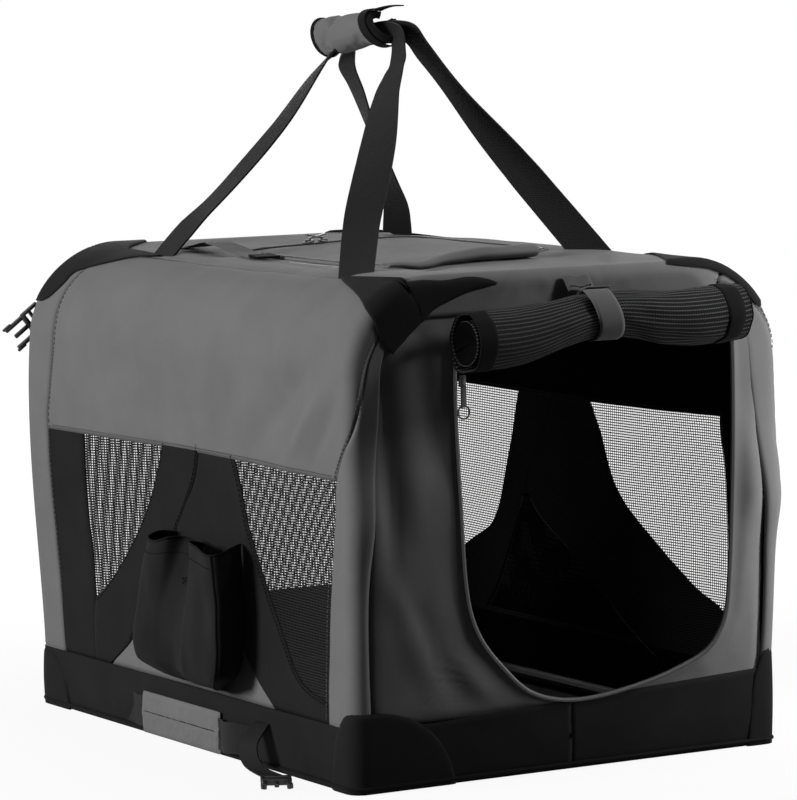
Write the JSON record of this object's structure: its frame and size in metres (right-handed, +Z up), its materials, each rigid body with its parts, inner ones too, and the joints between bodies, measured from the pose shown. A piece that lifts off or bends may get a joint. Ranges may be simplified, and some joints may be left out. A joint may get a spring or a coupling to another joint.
{
  "type": "soft folding dog crate",
  "caption": "Soft folding dog crate: fabric walls on a steel frame whose hoops fold at knees, net windows, roll-up mesh door, zipped roof hatch, pocket and carry loops with a grip.",
  "frame": {"origin": "middle of the fabric body's underside, on the ground", "axes": "-Y towards the door, -X towards the side with the pocket and the grab handle, +Z up"},
  "size_m": [0.5799, 0.7762, 0.7816],
  "materials": {
    "grey_fabric": "coated woven polyester",
    "black_fabric": "coated woven polyester",
    "webbing": "ribbed polypropylene webbing",
    "net": "open polyester mesh",
    "moulded_plastic": "moulded",
    "board": "plain sheet",
    "steel_tube": "powder coated",
    "zip_metal": "dark cast zinc"
  },
  "bodies": {
    "base": {"base_tub": "black_fabric", "floor_board": "board", "base_bar_front": "steel_tube", "base_bar_rear": "steel_tube", "base_bar_left": "steel_tube", "base_bar_right": "steel_tube", "corner_joint_front_left": "moulded_plastic", "corner_joint_front_right": "moulded_plastic", "corner_joint_rear_left": "moulded_plastic", "corner_joint_rear_right": "moulded_plastic", "corner_boot_front_left": "black_fabric", "corner_boot_front_right": "black_fabric", "corner_boot_rear_left": "black_fabric", "corner_boot_rear_right": "black_fabric", "side_upper_left": "grey_fabric", "side_upper_right": "grey_fabric", "side_lower_left": "black_fabric", "side_lower_right": "black_fabric", "side_net_left": "net", "side_net_right": "net", "side_pocket": "black_fabric", "floor_strap": "webbing", "floor_buckle": "moulded_plastic"},
    "front_lower": {"leg_front_left": "steel_tube", "leg_front_right": "steel_tube", "knee_lower_front_left": "moulded_plastic", "knee_lower_front_right": "moulded_plastic", "front_panel_lower": "grey_fabric"},
    "front_upper": {"knee_upper_front_left": "moulded_plastic", "knee_upper_front_right": "moulded_plastic", "hoop_front": "steel_tube", "front_panel_upper": "grey_fabric", "door_roll": "net", "door_tie_strap": "grey_fabric"},
    "rear_lower": {"leg_rear_left": "steel_tube", "leg_rear_right": "steel_tube", "knee_lower_rear_left": "moulded_plastic", "knee_lower_rear_right": "moulded_plastic", "rear_panel_lower": "grey_fabric"},
    "rear_upper": {"knee_upper_rear_left": "moulded_plastic", "knee_upper_rear_right": "moulded_plastic", "hoop_rear": "steel_tube", "rear_panel_upper": "grey_fabric"},
    "top": {"roof_rail_left": "steel_tube", "roof_rail_right": "steel_tube", "roof_panel": "grey_fabric", "hatch_cover_roll": "grey_fabric", "roof_tie_strap": "grey_fabric"},
    "hatch": {"roof_hatch": "grey_fabric"},
    "hatch_slider_left": {"hatch_zip_slider_left": "zip_metal"},
    "hatch_slider_right": {"hatch_zip_slider_right": "zip_metal"},
    "carry_left": {"carry_loop_left": "webbing", "carry_grip": "grey_fabric"},
    "carry_right": {"carry_loop_right": "webbing"},
    "rear_strap": {"rear_strap": "webbing", "rear_buckle": "moulded_plastic"},
    "door_slider": {"door_zip_slider": "zip_metal"},
    "door_pull": {"door_zip_pull": "zip_metal"},
    "side_handle": {"side_handle_webbing": "webbing", "side_handle_sleeve": "grey_fabric"}
  },
  "joints": [
    {"name": "frame_fold", "type": "hinge", "parent": "base", "child": "front_lower", "pos_m": [0, -0.3369, 0.0345], "axis": [-1, 0, 0], "range_deg": [0, 86], "deforming": ["side_upper_left", "side_upper_right", "side_lower_left", "side_lower_right", "side_net_left", "side_net_right", "side_pocket", "door_roll", "door_tie_strap"]},
    {"name": "front_knee", "type": "hinge", "parent": "front_lower", "child": "front_upper", "pos_m": [0, -0.3506, 0.2707], "axis": [1, 0, 0], "range_deg": [0, 172]},
    {"name": "roof_front_pivot", "type": "hinge", "parent": "front_upper", "child": "top", "pos_m": [0, -0.3369, 0.5069], "axis": [-1, 0, 0], "range_deg": [0, 86]},
    {"name": "rear_foot", "type": "hinge", "parent": "base", "child": "rear_lower", "pos_m": [0, 0.3369, 0.0345], "axis": [1, 0, 0], "range_deg": [0, 86]},
    {"name": "rear_knee", "type": "hinge", "parent": "rear_lower", "child": "rear_upper", "pos_m": [0, 0.3506, 0.2707], "axis": [-1, 0, 0], "range_deg": [0, 172]},
    {"name": "rear_strap_swing", "type": "hinge", "parent": "top", "child": "rear_strap", "pos_m": [-0.172, 0.3503, 0.509], "axis": [1, 0, 0], "range_deg": [0, 86]},
    {"name": "hatch_lift", "type": "hinge", "parent": "top", "child": "hatch", "pos_m": [0, -0.165, 0.5211], "axis": [1, 0, 0], "range_deg": [0, 35]},
    {"name": "hatch_slider_left_slide", "type": "slide", "parent": "top", "child": "hatch_slider_left", "axis": [-1, 0, 0], "range_m": [0, 0.02]},
    {"name": "hatch_slider_right_slide", "type": "slide", "parent": "top", "child": "hatch_slider_right", "axis": [1, 0, 0], "range_m": [0, 0.02]},
    {"name": "carry_left_drop", "type": "hinge", "parent": "top", "child": "carry_left", "pos_m": [-0.17, 0, 0.5212], "axis": [0, -1, 0], "range_deg": [0, 130]},
    {"name": "carry_right_drop", "type": "hinge", "parent": "top", "child": "carry_right", "pos_m": [0.17, 0, 0.5212], "axis": [0, 1, 0], "range_deg": [0, 130]},
    {"name": "door_slider_slide", "type": "slide", "parent": "front_upper", "child": "door_slider", "axis": [0, 0, -1], "range_m": [0, 0.02]},
    {"name": "door_pull_swing", "type": "hinge", "parent": "door_slider", "child": "door_pull", "pos_m": [-0.15, -0.3533, 0.406], "axis": [-1, 0, 0], "range_deg": [0, 12]},
    {"name": "side_handle_lift", "type": "hinge", "parent": "base", "child": "side_handle", "pos_m": [-0.26, 0, 0.048], "axis": [0, 1, 0], "range_deg": [0, 88]}
  ],
  "couplings": [
    {"joint": "front_knee", "follows": "frame_fold", "ratio": 2},
    {"joint": "roof_front_pivot", "follows": "frame_fold", "ratio": 1},
    {"joint": "rear_foot", "follows": "frame_fold", "ratio": 1},
    {"joint": "rear_knee", "follows": "frame_fold", "ratio": 2},
    {"joint": "rear_strap_swing", "follows": "frame_fold", "ratio": 1}
  ]
}
